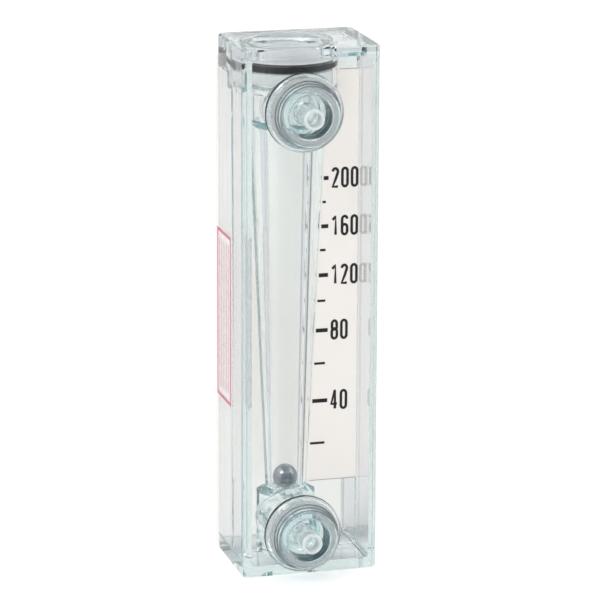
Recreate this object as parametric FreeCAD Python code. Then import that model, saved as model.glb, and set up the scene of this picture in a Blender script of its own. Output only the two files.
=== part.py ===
"""Rotameter in a clear moulded case: a steel ball rises in a tapered bore beside a printed scale.

Millimetres, +Z up. The origin is the centre of the case's bottom face, and the side with the
scale and the two tubing ports faces -Y.
"""
import FreeCAD, Part
import math
import os

V = FreeCAD.Vector
UP = V(0, 0, 1)
FORWARD = V(0, -1, 0)

# case: one clear moulding, open at the front and at the back of its middle web
case_width = 26.4
case_depth = 19.7
case_height = 101.6
case_corner_r = 1.3
rim_bevel = 0.3
side_wall = 1.7
floor_wall = 2.2
top_wall = 1.9
pocket_corner_r = 0.8
tray_depth = 8.4
web_thickness = 1.6

# tapered bore and the cone of wall around it
tube_x = -2.35
tube_foot_z = 15.0
tube_foot_r = 4.0
tube_taper = 0.0467
bore_foot_r = 2.56
bore_taper = 0.0171
bore_below_outlet = 5.0
seat_hole_r = 1.5
hub_r = 5.7

# float
ball_r = 2.381
ball_gap = 0.02

# top plug and its seat
plug_r = 8.7
plug_length = 7.4
dish_r = 6.4
dish_floor_r = 4.3
dish_depth = 0.9
plug_edge = 0.35
stop_stem_r = 1.5
seat_wall = 0.9
seat_floor_gap = 0.8
seat_clearance = 0.05
chamber_r = 5.9
chamber_cone = 1.6
ring_section_r = 0.8
ring_below_top = 4.2
ring_side_gap = 0.2
ring_sides = 6

# tubing ports
inlet_z = 9.1
outlet_below_top = 11.4
boss_r = 6.3
boss_reach = 2.6
passage_r = 1.6
flange_r = 7.35
flange_thickness = 1.4
gasket_width = 0.25
gasket_length = 0.5
gasket_proud = 0.05
stem_r = 4.4
stem_length = 4.6
stem_clearance = 0.04
thread_length = 3.8
thread_start_r = 6.75
thread_end_r = 5.65
socket_r = 4.1
socket_floor_r = 3.6
socket_depth = 4.2
nipple_r = 2.0
nipple_reach = 2.2
nipple_bore_r = 1.35
nipple_edge = 0.25

# scale card, back plate and side label
card_thickness = 0.25
card_gap = 0.2
card_foot_z = 15.7
card_below_top = 5.7
plate_thickness = 1.5
plate_below_top = 3.9
plate_lap = 2.0
plate_corner_r = 1.0
label_thickness = 0.15
label_depth = 10.4
label_height = 33.0
label_foot_z = 31.5
label_back_gap = 0.7

# places worked out from the sizes above
front_y = -case_depth / 2
back_y = case_depth / 2
inner_x = case_width / 2 - side_wall
web_front_y = front_y + tray_depth
web_back_y = web_front_y + web_thickness
outlet_z = case_height - outlet_below_top
bore_top_z = outlet_z - bore_below_outlet
card_top_z = case_height - card_below_top
seat_floor_z = case_height - plug_length - seat_floor_gap
seat_bore_r = plug_r + seat_clearance
seat_outer_r = seat_bore_r + seat_wall
boss_front_y = front_y - boss_reach
gasket_seat_r = flange_r + gasket_proud - gasket_width
thread_start = flange_thickness
thread_tip = thread_start + thread_length
nipple_tip = thread_tip + nipple_reach
stem_end_y = boss_front_y + stem_length
stop_z = bore_top_z + 0.6
ball_rest_z = tube_foot_z + ball_gap + math.sqrt(ball_r ** 2 - seat_hole_r ** 2)
float_travel = stop_z - ball_gap - ball_r - ball_rest_z


def tube_wall_r(z):
    """Outer radius of the tapered tube wall at a height."""
    return tube_foot_r + tube_taper * (z - tube_foot_z)


def bore_r(z):
    """Radius of the tapered metering bore at a height."""
    return bore_foot_r + bore_taper * (z - tube_foot_z)


def box(x0, x1, y0, y1, z0, z1):
    return Part.makeBox(x1 - x0, y1 - y0, z1 - z0, V(x0, y0, z0))


def edges_along(shape, direction):
    """Straight edges of a shape that run along one axis."""
    found = []
    for edge in shape.Edges:
        if isinstance(edge.Curve, Part.Line):
            run = edge.Vertexes[-1].Point - edge.Vertexes[0].Point
            if run.cross(direction).Length < 1e-6 * run.Length:
                found.append(edge)
    return found


def rounded_box(x0, x1, y0, y1, z0, z1, radius, direction):
    block = box(x0, x1, y0, y1, z0, z1)
    return block.makeFillet(radius, edges_along(block, direction))


def column(radius, z0, z1):
    """Upright cylinder on the metering axis."""
    return Part.makeCylinder(radius, z1 - z0, V(tube_x, 0, z0), UP)


def taper(r0, r1, z0, z1):
    """Upright cone on the metering axis."""
    return Part.makeCone(r0, r1, z1 - z0, V(tube_x, 0, z0), UP)


def port_bar(radius, y0, y1, z):
    """Cylinder on a port's axis, from y0 forward to y1."""
    return Part.makeCylinder(radius, y0 - y1, V(tube_x, y0, z), FORWARD)


def revolved(points, origin, axis):
    """Solid turned from (radius, distance along the axis) points."""
    side = V(1, 0, 0)
    outline = [origin + side * r + axis * a for r, a in points]
    face = Part.Face(Part.makePolygon(outline + outline[:1]))
    return face.revolve(origin, axis, 360)


def case_box():
    """Rounded box with a front tray and a back recess on either side of the web."""
    shell = rounded_box(-case_width / 2, case_width / 2, front_y, back_y, 0, case_height,
                        case_corner_r, UP)
    rims = [e for e in shell.Edges if abs(e.BoundBox.ZLength) < 1e-6]
    shell = shell.makeChamfer(rim_bevel, rims)
    ceiling_z = case_height - top_wall
    tray = rounded_box(-inner_x, inner_x, front_y - 1, web_front_y, floor_wall, ceiling_z,
                       pocket_corner_r, FORWARD)
    recess_top_z = case_height - plate_below_top - plate_lap
    recess = rounded_box(-inner_x, inner_x, web_back_y, back_y + 1, floor_wall, recess_top_z,
                         pocket_corner_r, FORWARD)
    return shell.cut([tray, recess])


def case_inner_walls():
    """Tapered tube wall, hub below it, plug seat above it and the two port bosses."""
    tube_wall = taper(tube_wall_r(tube_foot_z), tube_wall_r(seat_floor_z), tube_foot_z, seat_floor_z)
    hub = column(hub_r, floor_wall / 2, tube_foot_z - 1)
    shoulder = taper(hub_r, tube_foot_r, tube_foot_z - 1, tube_foot_z)
    seat = column(seat_outer_r, seat_floor_z - seat_wall, case_height - top_wall / 2)
    bosses = [port_bar(boss_r, 0, boss_front_y, z) for z in (inlet_z, outlet_z)]
    return [tube_wall, hub, shoulder, seat] + bosses


def case_bores():
    """The flow path from the inlet to the outlet, and the holes that the fittings go into."""
    metering = taper(bore_r(tube_foot_z), bore_r(bore_top_z), tube_foot_z, bore_top_z)
    riser = column(seat_hole_r, inlet_z, tube_foot_z)
    flare = taper(bore_r(bore_top_z), chamber_r, bore_top_z, bore_top_z + chamber_cone)
    chamber = column(chamber_r, bore_top_z + chamber_cone, seat_floor_z)
    seat = column(seat_bore_r, seat_floor_z, case_height + 1)
    cuts = [metering, riser, flare, chamber, seat]
    for z in (inlet_z, outlet_z):
        hole_end_y = stem_end_y + stem_clearance
        cuts.append(port_bar(stem_r + stem_clearance, hole_end_y, boss_front_y - 1, z))
        cuts.append(port_bar(passage_r, 0, hole_end_y, z))
    return cuts


def make_case():
    body = case_box()
    for wall in case_inner_walls():
        body = body.fuse(wall)
    for bore in case_bores():
        body = body.cut(bore)
    return body.removeSplitter()


def make_float_ball():
    return Part.makeSphere(ball_r, V(tube_x, 0, ball_rest_z))


def make_top_plug():
    """Plug with a shallow dish on top, an O-ring groove and a stem that stops the float."""
    base_z = case_height - plug_length
    groove_z = case_height - ring_below_top
    groove_half = ring_section_r + ring_side_gap
    groove_r = seat_bore_r - 2 * ring_section_r
    dish_z = case_height - dish_depth
    outline = [
        (0, stop_z), (stop_stem_r, stop_z), (stop_stem_r, base_z), (plug_r - plug_edge, base_z),
        (plug_r, base_z + plug_edge), (plug_r, groove_z - groove_half), (groove_r, groove_z - groove_half),
        (groove_r, groove_z + groove_half), (plug_r, groove_z + groove_half),
        (plug_r, case_height - plug_edge), (plug_r - plug_edge, case_height),
        (dish_r, case_height), (dish_floor_r, dish_z), (0, dish_z),
    ]
    return revolved(outline, V(tube_x, 0, 0), UP)


def make_top_plug_o_ring():
    """O-ring squeezed flat-sided between the plug's groove and its seat."""
    middle_r = seat_bore_r - ring_section_r
    corner = math.radians(360 / ring_sides)
    reach = ring_section_r / math.cos(corner / 2)
    section = [(middle_r + reach * math.cos((i + 0.5) * corner), reach * math.sin((i + 0.5) * corner))
               for i in range(ring_sides)]
    return revolved(section, V(tube_x, 0, case_height - ring_below_top), UP)


def make_fitting(z):
    """Tubing fitting: stem, flange, tapered nut thread, socket and the nipple in its middle.

    The flange has a narrow step round its back rim, which the thin gasket ring fills.
    """
    socket_floor = thread_tip - socket_depth
    outline = [(nipple_bore_r, -stem_length), (stem_r, -stem_length), (stem_r, 0), (gasket_seat_r, 0),
               (gasket_seat_r, gasket_length), (flange_r, gasket_length), (flange_r, thread_start),
               (thread_start_r, thread_start), (thread_end_r, thread_tip),
               (socket_r, thread_tip), (socket_floor_r, socket_floor), (nipple_r, socket_floor),
               (nipple_r, nipple_tip - nipple_edge), (nipple_r - nipple_edge, nipple_tip),
               (nipple_bore_r, nipple_tip)]
    return revolved(outline, V(tube_x, boss_front_y, z), FORWARD)


def make_gasket(z):
    """Thin black ring in the step round the back rim of a fitting's flange."""
    front_y_of_ring = boss_front_y - gasket_length
    ring = port_bar(flange_r + gasket_proud, boss_front_y, front_y_of_ring, z)
    return ring.cut(port_bar(gasket_seat_r, boss_front_y + 1, front_y_of_ring - 1, z))


def make_scale_card():
    """Card on the web's front face, cut to follow the tube wall and the plug seat."""
    right_x = inner_x - card_gap
    y0 = web_front_y - card_thickness
    blank = box(tube_x, right_x, y0, web_front_y, card_foot_z, card_top_z)
    tube = taper(tube_wall_r(tube_foot_z) + card_gap, tube_wall_r(seat_floor_z) + card_gap,
                 tube_foot_z, seat_floor_z)
    seat = column(seat_outer_r + card_gap, seat_floor_z - seat_wall - card_gap, case_height)
    boss = port_bar(boss_r + card_gap, web_back_y, front_y, outlet_z)
    for keep_clear in (tube, seat, boss):
        blank = blank.cut(keep_clear)
    return blank


def make_back_plate():
    """Plain plate that closes the back of the case and backs the scale."""
    return rounded_box(-case_width / 2, case_width / 2, back_y, back_y + plate_thickness,
                       0, case_height - plate_below_top, plate_corner_r, FORWARD)


def make_side_label():
    """Thin bare label on the left side face."""
    y1 = back_y - label_back_gap
    x0 = -case_width / 2 - label_thickness
    return box(x0, -case_width / 2, y1 - label_depth, y1, label_foot_z, label_foot_z + label_height)


parts = {
    "case": make_case(),
    "float_ball": make_float_ball(),
    "top_plug": make_top_plug(),
    "top_plug_o_ring": make_top_plug_o_ring(),
    "inlet_fitting": make_fitting(inlet_z),
    "outlet_fitting": make_fitting(outlet_z),
    "inlet_gasket": make_gasket(inlet_z),
    "outlet_gasket": make_gasket(outlet_z),
    "scale_card": make_scale_card(),
    "back_plate": make_back_plate(),
    "side_label": make_side_label(),
}

os.makedirs("parts", exist_ok=True)
for name, shape in parts.items():
    shape.exportStep(f"parts/{name}.step")
    print(name, len(shape.Solids), shape.isValid(), round(shape.Volume, 2))
print("ball rest z", round(ball_rest_z, 3), "float travel", round(float_travel, 3))
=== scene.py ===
"""Looks of the rotameter: clear moulded plastic, steel ball, black seals, printed scale and label."""
import bpy
import bmesh
import math
from mathutils import Matrix, Vector


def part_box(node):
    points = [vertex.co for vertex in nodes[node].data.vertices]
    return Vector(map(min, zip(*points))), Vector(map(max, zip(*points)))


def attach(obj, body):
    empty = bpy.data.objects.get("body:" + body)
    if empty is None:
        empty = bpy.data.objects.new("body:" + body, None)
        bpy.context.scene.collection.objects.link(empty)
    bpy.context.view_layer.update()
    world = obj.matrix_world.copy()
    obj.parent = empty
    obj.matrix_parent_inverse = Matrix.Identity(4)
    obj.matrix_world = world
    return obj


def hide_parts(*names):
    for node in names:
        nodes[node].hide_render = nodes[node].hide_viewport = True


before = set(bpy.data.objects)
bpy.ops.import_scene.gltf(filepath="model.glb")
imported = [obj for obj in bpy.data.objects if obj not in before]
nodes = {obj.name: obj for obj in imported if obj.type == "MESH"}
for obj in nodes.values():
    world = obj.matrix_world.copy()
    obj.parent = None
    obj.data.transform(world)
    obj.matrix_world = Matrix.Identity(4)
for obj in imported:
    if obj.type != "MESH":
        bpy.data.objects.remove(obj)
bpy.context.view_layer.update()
scene = bpy.context.scene
MM = 0.001
METER = "meter"

# ---------------------------------------------------------------- places read from the frame
card_low, card_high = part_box("scale_card")
label_low, label_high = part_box("side_label")
plug_low, plug_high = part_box("top_plug")
ring_low, ring_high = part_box("top_plug_o_ring")
tube_axis = Vector(((plug_low.x + plug_high.x) / 2, (plug_low.y + plug_high.y) / 2, 0))
# the case reaches as far forward of its middle as the plate lies behind it
front_y = -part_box("back_plate")[0].y

# ---------------------------------------------------------------- sizes of the finer forms
scale_marks = ((200, 75.1), (180, 70.5), (160, 65.8), (140, 61.2), (120, 56.3), (100, 51.3),
               (80, 45.5), (60, 39.0), (40, 31.6), (20, 23.2))
numbered_marks = (200, 160, 120, 80, 40)
major_end_x = 5.5 * MM
minor_end_x = 5.0 * MM
major_height = 0.75 * MM
minor_height = 0.45 * MM
number_start_x = 6.05 * MM
digit_height = 4.05 * MM
digit_width = 1.55 * MM
digit_gap = 0.34 * MM
digit_stroke = 0.54 * MM
print_lift = 0.02 * MM
print_thickness = 0.02 * MM
tube_foot = (4.0 * MM, 15.0 * MM)
tube_taper = 0.0467

gasket_width = 0.25 * MM
gasket_proud = 0.05 * MM
flange_thickness = 1.4 * MM
stem_r = 4.4 * MM
hole_r = 1.35 * MM
thread_root_r = 6.75 * MM
thread_tip_r = 5.65 * MM
thread_length = 3.8 * MM
socket_mouth_r = 4.1 * MM
socket_floor_r = 3.6 * MM
socket_depth = 4.2 * MM
nipple_r = 2.0 * MM
nipple_bore_depth = 2.4 * MM
edge_round = 0.25 * MM
thread_turns = 4
thread_depth = 0.6 * MM
fitting_segments = 160
ring_segments = (160, 36)


def srgb(hex_colour, alpha=1.0):
    """A colour written as sRGB hex, as the linear RGBA that sockets take."""
    parts = [int(hex_colour[i:i + 2], 16) / 255 for i in (0, 2, 4)]
    linear = [c / 12.92 if c <= 0.04045 else ((c + 0.055) / 1.055) ** 2.4 for c in parts]
    return (*linear, alpha)


# ---------------------------------------------------------------- materials
class Finish:
    """A node material being built: small helpers to add and link nodes."""

    def __init__(self, name):
        self.material = bpy.data.materials.new(name)
        self.material.use_nodes = True
        self.tree = self.material.node_tree
        self.tree.nodes.clear()
        self.output = self.add("ShaderNodeOutputMaterial")
        self.shader = self.add("ShaderNodeBsdfPrincipled")
        self.link(self.shader.outputs["BSDF"], self.output.inputs["Surface"])
        self.coords = self.add("ShaderNodeTexCoord").outputs["Object"]

    def add(self, kind, **settings):
        node = self.tree.nodes.new(kind)
        for key, value in settings.items():
            setattr(node, key, value)
        return node

    def link(self, source, target):
        self.tree.links.new(source, target)

    def set(self, **values):
        for key, value in values.items():
            self.shader.inputs[key.replace("_", " ")].default_value = value

    def noise(self, feature_mm, detail=3.0, stretch=(1, 1, 1)):
        """Noise whose features are about feature_mm across."""
        mapping = self.add("ShaderNodeMapping")
        self.link(self.coords, mapping.inputs["Vector"])
        mapping.inputs["Scale"].default_value = [1 / (feature_mm * MM * s) for s in stretch]
        noise = self.add("ShaderNodeTexNoise")
        noise.inputs["Scale"].default_value = 1.0
        noise.inputs["Detail"].default_value = detail
        self.link(mapping.outputs["Vector"], noise.inputs["Vector"])
        return noise.outputs["Fac"]

    def spread(self, value, low, high):
        """A 0 to 1 value spread between low and high."""
        span = self.add("ShaderNodeMapRange")
        self.link(value, span.inputs["Value"])
        span.inputs["To Min"].default_value = low
        span.inputs["To Max"].default_value = high
        return span.outputs["Result"]

    def tint(self, value, low, high):
        """A colour between two, by a 0 to 1 value."""
        ramp = self.add("ShaderNodeValToRGB")
        self.link(value, ramp.inputs["Fac"])
        ramp.color_ramp.elements[0].color = low
        ramp.color_ramp.elements[1].color = high
        return ramp.outputs["Color"]

    def bump(self, height, depth_mm, strength=1.0):
        bump = self.add("ShaderNodeBump")
        bump.inputs["Distance"].default_value = depth_mm * MM
        bump.inputs["Strength"].default_value = strength
        self.link(height, bump.inputs["Height"])
        for earlier in self.shader.inputs["Normal"].links:
            self.link(earlier.from_socket, bump.inputs["Normal"])
        self.link(bump.outputs["Normal"], self.shader.inputs["Normal"])


def clear_plastic(name, density, wave_mm=0.012, streak_mm=0.0, roughness=(0.0, 0.03), clarity=1.0,
                  skin="FFFFFF"):
    """Clear moulded polycarbonate: wavy skin, upright flow streaks, a blue-green tint on long paths."""
    f = Finish(name)
    f.set(Base_Color=srgb(skin), Transmission_Weight=clarity, IOR=1.57)
    f.link(f.spread(f.noise(9), *roughness), f.shader.inputs["Roughness"])
    f.bump(f.noise(7, detail=1.0, stretch=(1, 1, 3)), wave_mm)
    f.bump(f.noise(1.5, detail=1.0, stretch=(1, 1, 16)), streak_mm)
    see_through = f.add("ShaderNodeBsdfTransparent")
    see_through.inputs["Color"].default_value = (1, 1, 1, 1)
    path = f.add("ShaderNodeLightPath")
    soft_ray = f.add("ShaderNodeMath", operation="MAXIMUM")
    f.link(path.outputs["Is Shadow Ray"], soft_ray.inputs[0])
    f.link(path.outputs["Is Diffuse Ray"], soft_ray.inputs[1])
    mix = f.add("ShaderNodeMixShader")
    f.link(soft_ray.outputs["Value"], mix.inputs["Fac"])
    f.link(f.shader.outputs["BSDF"], mix.inputs[1])
    f.link(see_through.outputs["BSDF"], mix.inputs[2])
    f.link(mix.outputs["Shader"], f.output.inputs["Surface"])
    absorb = f.add("ShaderNodeVolumeAbsorption")
    absorb.inputs["Color"].default_value = plastic_tint
    absorb.inputs["Density"].default_value = density
    f.link(absorb.outputs["Volume"], f.output.inputs["Volume"])
    return f.material


def satin_plastic():
    """The same polycarbonate where a tool has cut it: satin, so that it scatters and reads whitish."""
    f = Finish("cut_plastic")
    f.set(Transmission_Weight=0.6, IOR=1.57)
    f.link(f.tint(f.noise(1.5), srgb("E8EDEF"), srgb("FAFCFC")), f.shader.inputs["Base Color"])
    f.link(f.spread(f.noise(0.4), 0.35, 0.6), f.shader.inputs["Roughness"])
    f.bump(f.noise(0.2), 0.004)
    return f.material


def polished_steel():
    """Polished stainless bearing ball: mirror skin with the faintest lapping marks; its base colour is
    partly steel's own grey, partly darkened below it as painted shade for the dark room it would reflect.
    """
    f = Finish("polished_steel")
    f.set(Metallic=1.0)
    # painted shade: a steel grey darkened to stand in for the dark room that the ball would reflect
    f.link(f.tint(f.noise(0.8), srgb("8C9094"), srgb("ACB0B4")), f.shader.inputs["Base Color"])
    f.link(f.spread(f.noise(0.3), 0.06, 0.16), f.shader.inputs["Roughness"])
    f.bump(f.noise(0.15), 0.002)
    return f.material


def black_rubber():
    """Black nitrile seal: matt, slightly grainy, a little grease sheen."""
    f = Finish("black_rubber")
    f.link(f.tint(f.noise(0.6), srgb("090A0B"), srgb("121415")), f.shader.inputs["Base Color"])
    f.link(f.spread(f.noise(0.4), 0.35, 0.6), f.shader.inputs["Roughness"])
    f.bump(f.noise(0.12), 0.006)
    return f.material


def matt_card():
    """Off-white matt film of the scale, with a fine paper-like tooth."""
    f = Finish("matt_card")
    f.link(f.tint(f.noise(6), srgb("E3DDD8"), srgb("E7E2DE")), f.shader.inputs["Base Color"])
    f.link(f.spread(f.noise(0.5), 0.5, 0.68), f.shader.inputs["Roughness"])
    f.bump(f.noise(0.14, stretch=(1, 1, 2)), 0.004)
    return f.material


def printed_ink(name, dark, light):
    """Screen-printed ink: flat, slightly uneven coverage."""
    f = Finish(name)
    f.link(f.tint(f.noise(0.35), srgb(dark), srgb(light)), f.shader.inputs["Base Color"])
    f.link(f.spread(f.noise(0.25), 0.38, 0.55), f.shader.inputs["Roughness"])
    f.bump(f.noise(0.1), 0.002)
    return f.material


def plate_plastic():
    """Off-white moulded plate behind the case: satin, with a soft moulded grain."""
    f = Finish("plate_plastic")
    f.link(f.tint(f.noise(11), srgb("F3EEE9"), srgb("F7F3EF")), f.shader.inputs["Base Color"])
    f.link(f.spread(f.noise(1.2), 0.42, 0.58), f.shader.inputs["Roughness"])
    f.bump(f.noise(0.35), 0.01)
    return f.material


def label_film():
    """Clear label film with a milky cast, on the side of the case."""
    f = Finish("label_film")
    f.set(Alpha=0.45)
    f.link(f.tint(f.noise(4), srgb("F2EEEE"), srgb("F8F5F5")), f.shader.inputs["Base Color"])
    f.link(f.spread(f.noise(1.5), 0.22, 0.34), f.shader.inputs["Roughness"])
    f.bump(f.noise(2.5), 0.006)
    return f.material


def tones_by_azimuth(tree, direction):
    """Colour of the studio's walls and floor by compass direction from the meter, 0 at its back."""
    def add(kind):
        return tree.nodes.new(kind)

    parts, azimuth = add("ShaderNodeSeparateXYZ"), add("ShaderNodeMath")
    turn, ramp = add("ShaderNodeMapRange"), add("ShaderNodeValToRGB")
    azimuth.operation = "ARCTAN2"
    turn.inputs["From Min"].default_value = -math.pi
    turn.inputs["From Max"].default_value = math.pi
    stops = ramp.color_ramp.elements
    while len(stops) < len(studio_tones):
        stops.new(0.5)
    for stop, (degrees, colour) in zip(stops, studio_tones):
        stop.position = (degrees + 180) / 360
        stop.color = srgb(colour)
    tree.links.new(direction, parts.inputs["Vector"])
    tree.links.new(parts.outputs["X"], azimuth.inputs[0])
    tree.links.new(parts.outputs["Y"], azimuth.inputs[1])
    tree.links.new(azimuth.outputs["Value"], turn.inputs["Value"])
    tree.links.new(turn.outputs["Result"], ramp.inputs["Fac"])
    return ramp.outputs["Color"]


def scaled(tree, colour, amount):
    """A colour times a number or another node's value."""
    node = tree.nodes.new("ShaderNodeVectorMath")
    node.operation = "SCALE"
    tree.links.new(colour, node.inputs["Vector"])
    if isinstance(amount, float):
        node.inputs["Scale"].default_value = amount
    else:
        tree.links.new(amount, node.inputs["Scale"])
    return node.outputs["Vector"]


def seen_clear(tree, plain, through_clear):
    """One colour in plain view, and another for rays that come off or through clear plastic."""
    path, either, mix = (tree.nodes.new("ShaderNode" + kind) for kind in ("LightPath", "Math", "Mix"))
    either.operation = "MAXIMUM"
    mix.data_type = "RGBA"
    tree.links.new(path.outputs["Is Glossy Ray"], either.inputs[0])
    tree.links.new(path.outputs["Is Transmission Ray"], either.inputs[1])
    tree.links.new(either.outputs["Value"], mix.inputs["Factor"])
    mix.inputs[6].default_value = plain
    tree.links.new(through_clear, mix.inputs[7])
    return mix.outputs[2]


def floor_white():
    """Seamless white studio paper in plain view; to rays off or through the clear plastic it shows painted
    shade, grey stretches by compass direction, dimmed below white.
    """
    f = Finish("floor_white")
    f.set(Roughness=0.9, Specular_IOR_Level=0.1)
    tones = scaled(f.tree, tones_by_azimuth(f.tree, f.coords), floor_shade_through_clear)
    f.link(seen_clear(f.tree, (1, 1, 1, 1), tones), f.shader.inputs["Base Color"])
    return f.material


plastic_tint = (0.3, 0.74, 0.8, 1)
case_plastic = clear_plastic("clear_case", 13, wave_mm=0.02, streak_mm=0.007)
plug_plastic = clear_plastic("clear_plug", 26, roughness=(0.03, 0.09), clarity=0.97)
fitting_plastic = clear_plastic("clear_fitting", 34, roughness=(0.03, 0.08), clarity=0.94)
# the socket's wall is the same clear plastic; its darker base colour 48626B is painted shade, standing in
# for the light that the wall turns away
socket_painted_shade = clear_plastic("clear_socket_painted_shade", 34, roughness=(0.03, 0.08), clarity=0.94, skin="48626B")
cut_plastic = satin_plastic()
steel = polished_steel()
rubber = black_rubber()
card = matt_card()
black_ink = printed_ink("black_ink", "151517", "222225")
red_ink = printed_ink("red_ink", "C65F76", "D9808F")
grey_ink = printed_ink("grey_ink", "8E8C8C", "A5A3A2")
plate = plate_plastic()
film = label_film()


# ---------------------------------------------------------------- mesh helpers
def new_object(name, vertices, faces, material, smooth=True):
    mesh = bpy.data.meshes.new(name)
    mesh.from_pydata([tuple(v) for v in vertices], [], faces)
    mesh.validate()
    mesh.materials.append(material)
    for polygon in mesh.polygons:
        polygon.use_smooth = smooth
    obj = bpy.data.objects.new(name, mesh)
    scene.collection.objects.link(obj)
    return obj


def sharpen(obj, degrees):
    """Smooth shading with hard edges where faces meet at more than this angle."""
    obj.data.set_sharp_from_angle(angle=math.radians(degrees))


def shade_cad(node, degrees=24):
    """Round CAD faces shade smoothly, and their real corners stay hard."""
    mesh = nodes[node].data
    for polygon in mesh.polygons:
        polygon.use_smooth = True
    mesh.set_sharp_from_angle(angle=math.radians(degrees))


def paint(node, material):
    obj = nodes[node]
    obj.data.materials.clear()
    obj.data.materials.append(material)


def bars(name, boxes, material):
    """Thin printed bars as one mesh, each given by its low and high corner."""
    vertices, faces = [], []
    for low, high in boxes:
        start = len(vertices)
        xs, ys, zs = zip(low, high)
        vertices += [(x, y, z) for x in xs for y in ys for z in zs]
        for quad in ((0, 1, 3, 2), (4, 6, 7, 5), (0, 4, 5, 1), (2, 3, 7, 6), (0, 2, 6, 4), (1, 5, 7, 3)):
            faces.append([start + i for i in quad])
    return new_object(name, vertices, faces, material, smooth=False)


def turned(name, rings, material, closed=True):
    """Surface through rings of points, each ring the same length; the last ring meets the first."""
    count = len(rings[0])
    vertices = [p for ring in rings for p in ring]
    faces = []
    for i in range(len(rings) if closed else len(rings) - 1):
        j = (i + 1) % len(rings)
        for k in range(count):
            m = (k + 1) % count
            faces.append((i * count + k, i * count + m, j * count + m, j * count + k))
    return new_object(name, vertices, faces, material)


# ---------------------------------------------------------------- tubing fittings
def fitting_profile(low, high):
    """Turned outline of a fitting as (radius, y) corners, from the stem's bore round to the nipple's."""
    gasket_low, gasket_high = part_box("inlet_gasket")
    flange_back, step = gasket_high.y, gasket_low.y
    gasket_r = (gasket_high.x - gasket_low.x) / 2
    step_r, flange_r = gasket_r - gasket_width, gasket_r - gasket_proud
    flange_front = flange_back - flange_thickness
    tip = flange_front - thread_length
    floor = tip + socket_depth
    edge = edge_round
    return {
        "stem": [(hole_r, high), (stem_r - edge, high), (stem_r, high - edge), (stem_r, flange_back)],
        "cut_step": [(step_r, flange_back), (step_r, step), (flange_r - edge / 3, step)],
        "flange": [(flange_r, step - edge / 3), (flange_r, flange_front + edge),
                   (flange_r - edge, flange_front)],
        "thread": ((thread_root_r, flange_front), (thread_tip_r, tip)),
        "rim": [(thread_tip_r - 2 * edge, tip), (socket_mouth_r + edge, tip)],
        "socket": [(socket_mouth_r, tip + edge), (socket_floor_r + edge, floor - edge)],
        "nipple": [(socket_floor_r - edge, floor), (nipple_r + edge, floor), (nipple_r, floor - edge),
                   (nipple_r, low + edge)],
        "cut_end": [(nipple_r - edge, low), (hole_r + edge / 2, low), (hole_r, low + edge / 2),
                    (hole_r, low + nipple_bore_depth)],
    }


def threaded_fitting(name, node, material):
    """Flange, helical nut thread, socket and nipple, turned about the port's axis."""
    low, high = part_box(node)
    centre = Vector(((low.x + high.x) / 2, 0, (low.z + high.z) / 2))
    outline = fitting_profile(low.y, high.y)
    (r0, y0), (r1, y1) = outline["thread"]
    pitch = (y0 - y1) / thread_turns
    steps = 24 * thread_turns

    def ring(radius_at, y):
        points = []
        for k in range(fitting_segments):
            angle = 2 * math.pi * k / fitting_segments
            r = radius_at(angle)
            points.append(centre + Vector((r * math.cos(angle), y, r * math.sin(angle))))
        return points

    def groove(angle, along):
        turn = (along / pitch - angle / (2 * math.pi)) % 1
        wave = 0.5 - 0.5 * math.cos(2 * math.pi * turn)
        runout = min(1, along / (0.6 * pitch), ((y0 - y1) - along) / (0.45 * pitch))
        return thread_depth * max(0, runout) * wave ** 0.55

    def plain(part):
        return [ring(lambda angle, r=r: r, y) for r, y in outline[part]]

    rings = plain("stem")
    cut_bands = list(range(len(rings), len(rings) + len(outline["cut_step"]) - 1))
    rings += plain("cut_step") + plain("flange")
    for i in range(steps + 1):
        along = (y0 - y1) * i / steps
        crest = r0 + (r1 - r0) * i / steps
        rings.append(ring(lambda angle, c=crest, a=along: c - groove(angle, a), y0 - along))
    rings += plain("rim")
    socket_bands = range(len(rings), len(rings) + len(outline["socket"]) - 1)
    rings += plain("socket") + plain("nipple")
    cut_bands += range(len(rings) - 1, len(rings) + len(outline["cut_end"]) - 1)
    rings += plain("cut_end")
    obj = turned(name, rings, material)
    # the cut bands take the satin finish; the socket bands take painted shade, a darker base colour for the
    # light that the wall turns away
    finishes_and_painted_shade = ((cut_plastic, cut_bands), (socket_painted_shade, socket_bands))
    for slot, (finish, bands) in enumerate(finishes_and_painted_shade, start=1):
        obj.data.materials.append(finish)
        for band in bands:
            for polygon in obj.data.polygons[band * fitting_segments:(band + 1) * fitting_segments]:
                polygon.material_index = slot
    sharpen(obj, 32)
    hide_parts(node)
    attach(obj, METER)
    return obj


def plug_seal():
    """Round-section O-ring, squeezed a little by its groove and its seat."""
    middle = (ring_low + ring_high) / 2
    outer = (ring_high.x - ring_low.x) / 2 + 0.015 * MM
    half = (ring_high.z - ring_low.z) / 2
    around, across = ring_segments
    rings = []
    for i in range(around):
        a = 2 * math.pi * i / around
        spoke = Vector((math.cos(a), math.sin(a), 0))
        ring = []
        for j in range(across):
            b = 2 * math.pi * j / across
            flat = max(-0.8, min(0.8, math.cos(b))) / 0.8
            ring.append(middle + spoke * (outer - half + half * flat) + Vector((0, 0, half * math.sin(b))))
        rings.append(ring)
    obj = turned("plug_seal", rings, rubber)
    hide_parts("top_plug_o_ring")
    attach(obj, METER)
    return obj


# ---------------------------------------------------------------- printed scale
def tube_edge_x(z):
    """Where the tapered tube wall's side crosses the card at a height."""
    return tube_axis.x + tube_foot[0] + tube_taper * (z - tube_foot[1])


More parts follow.
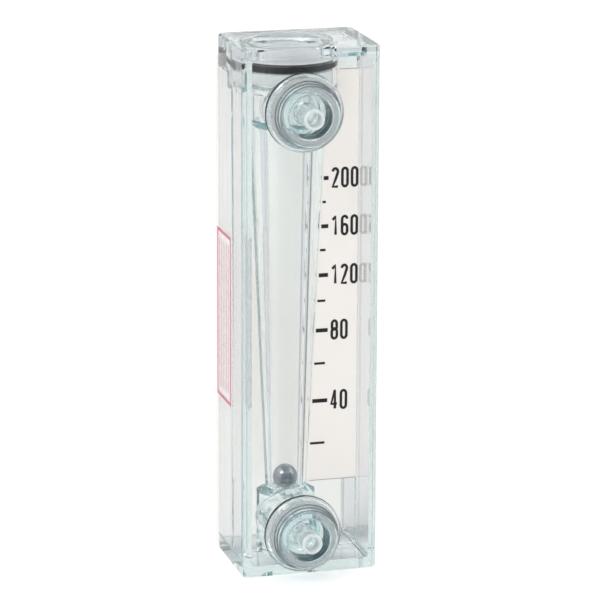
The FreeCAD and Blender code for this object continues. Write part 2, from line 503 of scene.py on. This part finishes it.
def scale_ticks():
    y1 = card_low.y - print_lift
    boxes = []
    for value, z_mm in scale_marks:
        z = z_mm * MM
        major = value in numbered_marks
        half = (major_height if major else minor_height) / 2
        end = major_end_x if major else minor_end_x
        boxes.append(((tube_edge_x(z) + 0.1 * MM, y1 - print_thickness, z - half), (end, y1, z + half)))
    obj = bars("scale_ticks", boxes, black_ink)
    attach(obj, METER)
    return obj


def arc(cx, cz, rx, rz, start, end, steps=10):
    """Points on an ellipse's arc, angles in degrees from +x towards +z."""
    angles = [math.radians(start + (end - start) * i / steps) for i in range(steps + 1)]
    return [(cx + rx * math.cos(a), cz + rz * math.sin(a)) for a in angles]


def digit_paths(digit, w, h):
    """Centre lines of a condensed digit in a w by h box, each (points, closed)."""
    r = w / 2
    k = 0.62 * w
    if digit == "0":
        return [(arc(r, h - k, r, k, 0, 180) + arc(r, k, r, k, 180, 360), True)]
    if digit == "1":
        return [([(0.02 * w, h - 0.62 * w), (0.52 * w, h - 0.12 * w), (0.62 * w, h), (0.62 * w, 0)], False)]
    if digit == "2":
        return [(arc(r, h - k, r, k, 175, -25) + [(0.55 * w, 0.4 * h), (0.0, 0.0), (w, 0.0)], False)]
    if digit == "4":
        return [([(0.7 * w, 0), (0.7 * w, h), (0.6 * w, h), (-0.02 * w, 0.27 * h),
                  (1.08 * w, 0.27 * h)], False)]
    if digit == "6":
        low = 0.55 * h
        return [(arc(r, h - k, r, k, 8, 180) + arc(r, k, r, k, 180, 360)
                 + arc(r, low - k, r, k, 0, 180), False)]
    upper, lower = 0.5 * h, 0.56 * h
    return [(arc(r, h - k, 0.92 * r, k, 0, 180)
             + arc(r, upper + 0.42 * w, 0.92 * r, 0.42 * w, 180, 360), True),
            (arc(r, lower - k, r, k, 0, 180) + arc(r, k, r, k, 180, 360), True)]


def digit_strokes(digit, start_x, base_z):
    """One digit as flat ribbons of even width, built round its centre lines."""
    half = digit_stroke / 2
    w, h = digit_width - digit_stroke, digit_height - digit_stroke
    made = []
    for points, closed in digit_paths(digit, w, h):
        curve = bpy.data.curves.new("digit", "CURVE")
        curve.dimensions = "3D"
        curve.bevel_depth = half
        curve.bevel_resolution = 3
        curve.use_fill_caps = True
        spline = curve.splines.new("POLY")
        spline.points.add(len(points) - 1)
        spline.use_cyclic_u = closed
        for point, (x, z) in zip(spline.points, points):
            point.co = (start_x + half + x, 0, base_z + half + z, 1)
        holder = bpy.data.objects.new("digit", curve)
        scene.collection.objects.link(holder)
        bpy.context.view_layer.update()
        mesh = bpy.data.meshes.new_from_object(holder.evaluated_get(bpy.context.evaluated_depsgraph_get()))
        bpy.data.objects.remove(holder)
        made.append(mesh)
    return made


def scale_numbers():
    y = card_low.y - print_lift - print_thickness / 2
    flatten = Matrix.Translation((0, y, 0)) @ Matrix.Diagonal((1, print_thickness / digit_stroke, 1, 1))
    joined = bmesh.new()
    for value, z_mm in scale_marks:
        if value not in numbered_marks:
            continue
        for place, digit in enumerate(str(value)):
            x = number_start_x + place * (digit_width + digit_gap)
            for mesh in digit_strokes(digit, x, z_mm * MM - digit_height / 2):
                mesh.transform(flatten)
                joined.from_mesh(mesh)
    mesh = bpy.data.meshes.new("scale_numbers")
    joined.to_mesh(mesh)
    joined.free()
    mesh.materials.clear()
    mesh.materials.append(black_ink)
    for polygon in mesh.polygons:
        polygon.material_index = 0
    obj = bpy.data.objects.new("scale_numbers", mesh)
    scene.collection.objects.link(obj)
    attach(obj, METER)
    return obj


def card_edge_lines():
    """Thin printed lines along the card's top and bottom edges."""
    y1 = card_low.y - print_lift
    line = 0.14 * MM
    plug_seat_x = tube_axis.x + 9.9 * MM
    boxes = [((plug_seat_x, y1 - print_thickness, card_high.z - line), (card_high.x, y1, card_high.z)),
             ((tube_edge_x(card_low.z) + 0.3 * MM, y1 - print_thickness, card_low.z),
              (card_high.x, y1, card_low.z + line))]
    obj = bars("card_edge_lines", boxes, grey_ink)
    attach(obj, METER)
    return obj


# ---------------------------------------------------------------- side label
def label_frame():
    """Red printed frame round the bare label."""
    line = 0.62 * MM
    x0 = label_low.x - print_lift - print_thickness
    x1 = label_low.x - print_lift
    y0, y1 = label_low.y, label_high.y
    z0, z1 = label_low.z, label_high.z
    boxes = [((x0, y0, z0), (x1, y0 + line, z1)), ((x0, y1 - line, z0), (x1, y1, z1)),
             ((x0, y0 + line, z0), (x1, y1 - line, z0 + line)),
             ((x0, y0 + line, z1 - line), (x1, y1 - line, z1))]
    obj = bars("label_frame", boxes, red_ink)
    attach(obj, METER)
    return obj


def ruled_lines():
    """Plain ruled lines inside the label, spaced evenly across it by a node tree."""
    count, margin, width = 6, 1.9 * MM, 0.16 * MM
    tree = bpy.data.node_groups.new("ruled_lines", "GeometryNodeTree")
    tree.interface.new_socket("Geometry", in_out="OUTPUT", socket_type="NodeSocketGeometry")
    line_count = tree.interface.new_socket("Lines", in_out="INPUT", socket_type="NodeSocketInt")
    spacing = tree.interface.new_socket("Spacing", in_out="INPUT", socket_type="NodeSocketFloat")
    bar = tree.interface.new_socket("Bar", in_out="INPUT", socket_type="NodeSocketVector")
    first = tree.interface.new_socket("First", in_out="INPUT", socket_type="NodeSocketVector")
    add = tree.nodes.new
    source, result = add("NodeGroupInput"), add("NodeGroupOutput")
    row, cube = add("GeometryNodeMeshLine"), add("GeometryNodeMeshCube")
    step, place = add("ShaderNodeCombineXYZ"), add("GeometryNodeInstanceOnPoints")
    real, ink = add("GeometryNodeRealizeInstances"), add("GeometryNodeSetMaterial")
    ink.inputs["Material"].default_value = red_ink
    for a, b in ((source.outputs["Lines"], row.inputs["Count"]),
                 (source.outputs["First"], row.inputs["Start Location"]),
                 (source.outputs["Spacing"], step.inputs["Y"]),
                 (step.outputs["Vector"], row.inputs["Offset"]),
                 (source.outputs["Bar"], cube.inputs["Size"]), (row.outputs["Mesh"], place.inputs["Points"]),
                 (cube.outputs["Mesh"], place.inputs["Instance"]),
                 (place.outputs["Instances"], real.inputs["Geometry"]),
                 (real.outputs["Geometry"], ink.inputs["Geometry"]),
                 (ink.outputs["Geometry"], result.inputs[0])):
        tree.links.new(a, b)
    holder = bpy.data.objects.new("ruled_lines_source", bpy.data.meshes.new("ruled_lines_source"))
    scene.collection.objects.link(holder)
    modifier = holder.modifiers.new("rule", "NODES")
    modifier.node_group = tree
    reach = label_high.y - label_low.y - 2 * margin
    x = label_low.x - print_lift - print_thickness / 2
    modifier[line_count.identifier] = count
    modifier[spacing.identifier] = reach / (count - 1)
    modifier[bar.identifier] = (print_thickness, width, label_high.z - label_low.z - 2 * margin)
    modifier[first.identifier] = (x, label_low.y + margin, (label_low.z + label_high.z) / 2)
    bpy.context.view_layer.update()
    mesh = bpy.data.meshes.new_from_object(holder.evaluated_get(bpy.context.evaluated_depsgraph_get()))
    bpy.data.objects.remove(holder)
    obj = bpy.data.objects.new("label_ruled_lines", mesh)
    scene.collection.objects.link(obj)
    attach(obj, METER)
    return obj


# ---------------------------------------------------------------- dress the part
for name, material in (("case", case_plastic), ("top_plug", plug_plastic), ("float_ball", steel),
                       ("inlet_gasket", rubber), ("outlet_gasket", rubber), ("scale_card", card),
                       ("back_plate", plate), ("side_label", film)):
    paint(name, material)
    shade_cad(name)

# the plug's side is cut to fit its seat after moulding
nodes["top_plug"].data.materials.append(cut_plastic)
for polygon in nodes["top_plug"].data.polygons:
    from_axis = (polygon.center.xy - tube_axis.xy).length
    if polygon.center.z < plug_high.z - 0.5 * MM and from_axis > (plug_high.x - plug_low.x) / 2 - 0.4 * MM:
        polygon.material_index = 1

threaded_fitting("inlet_fitting_threaded", "inlet_fitting", fitting_plastic)
threaded_fitting("outlet_fitting_threaded", "outlet_fitting", fitting_plastic)
plug_seal()
scale_ticks()
scale_numbers()
card_edge_lines()
label_frame()
ruled_lines()


# ---------------------------------------------------------------- studio
def studio_floor():
    size = 6.0
    corners = [(-size, -size, 0), (size, -size, 0), (size, size, 0), (-size, size, 0)]
    obj = new_object("studio_floor", corners, [(0, 1, 2, 3)], floor_white(), smooth=False)
    obj.location.z = -0.02 * MM


def softbox(name, azimuth, elevation, distance, size, power):
    light = bpy.data.lights.new(name, "AREA")
    light.shape = "RECTANGLE"
    light.size, light.size_y = size
    light.energy = power
    obj = bpy.data.objects.new(name, light)
    a, e = math.radians(azimuth), math.radians(elevation)
    towards = Vector((math.sin(a) * math.cos(e), -math.cos(a) * math.cos(e), math.sin(e)))
    obj.location = Vector((0, 0, 50 * MM)) + towards * distance
    obj.rotation_euler = towards.to_track_quat("Z", "Y").to_euler()
    scene.collection.objects.link(obj)


def studio_world():
    """White surround, with grey stretches and a bright ceiling for rays off or through the plastic."""
    world = bpy.data.worlds.new("studio")
    world.use_nodes = True
    scene.world = world
    tree = world.node_tree
    tree.nodes.clear()
    add, link = tree.nodes.new, tree.links.new
    direction = add("ShaderNodeTexCoord").outputs["Generated"]
    parts = add("ShaderNodeSeparateXYZ")
    link(direction, parts.inputs["Vector"])
    ceiling = add("ShaderNodeMapRange")
    link(parts.outputs["Z"], ceiling.inputs["Value"])
    for socket, value in (("From Min", 0.5), ("From Max", 0.62), ("To Min", 1.0), ("To Max", ceiling_glow)):
        ceiling.inputs[socket].default_value = value
    walls = scaled(tree, tones_by_azimuth(tree, direction), ceiling.outputs["Result"])
    background = add("ShaderNodeBackground")
    link(seen_clear(tree, (1, 1, 1, 1), walls), background.inputs["Color"])
    link(background.outputs["Background"], add("ShaderNodeOutputWorld").inputs["Surface"])


def studio_camera():
    """Long lens, a little to the left of the meter's front and a little above it."""
    azimuth, elevation, distance, roll = -15.44, 14.64, 656.8 * MM, 0.225
    aim = Vector((-2.22 * MM, front_y, 53.94 * MM))
    a, e = math.radians(azimuth), math.radians(elevation)
    back = Vector((math.sin(a) * math.cos(e), -math.cos(a) * math.cos(e), math.sin(e)))
    data = bpy.data.cameras.new("camera")
    data.lens = 210.96
    data.sensor_width = 36
    data.clip_start, data.clip_end = 0.01, 20
    camera = bpy.data.objects.new("camera", data)
    scene.collection.objects.link(camera)
    turn = (-back).to_track_quat("-Z", "Y").to_matrix().to_4x4()
    place = Matrix.Translation(aim + back * distance)
    camera.matrix_world = place @ turn @ Matrix.Rotation(math.radians(roll), 4, "Z")
    scene.camera = camera


# grey stretches of the surround; on the floor, for rays off or through the plastic, they are painted shade
studio_tones = ((-180, "A9AFB3"), (-145, "A9AFB3"), (-116, "F4F6F8"), (-88, "F4F6F8"), (-68, "B0B6BA"),
                (-48, "F0F2F4"), (-20, "F4F4F4"), (10, "F4F4F4"), (36, "F0F2F4"), (58, "B0B6BA"),
                (80, "F4F6F8"), (112, "F4F6F8"), (140, "A9AFB3"), (180, "A9AFB3"))
# painted shade: how far the floor is dimmed for rays off or through the clear plastic
floor_shade_through_clear = 0.75
ceiling_glow = 1.7
studio_floor()
softbox("key_softbox", -50, 45, 0.9, (0.25, 0.35), 1.5)
softbox("fill_softbox", 60, 30, 1.0, (0.2, 0.5), 0.7)
studio_world()
studio_camera()
scene.view_settings.view_transform = "Standard"
scene.cycles.max_bounces = 24
scene.cycles.transmission_bounces = 24
scene.cycles.glossy_bounces = 24
scene.cycles.transparent_max_bounces = 24
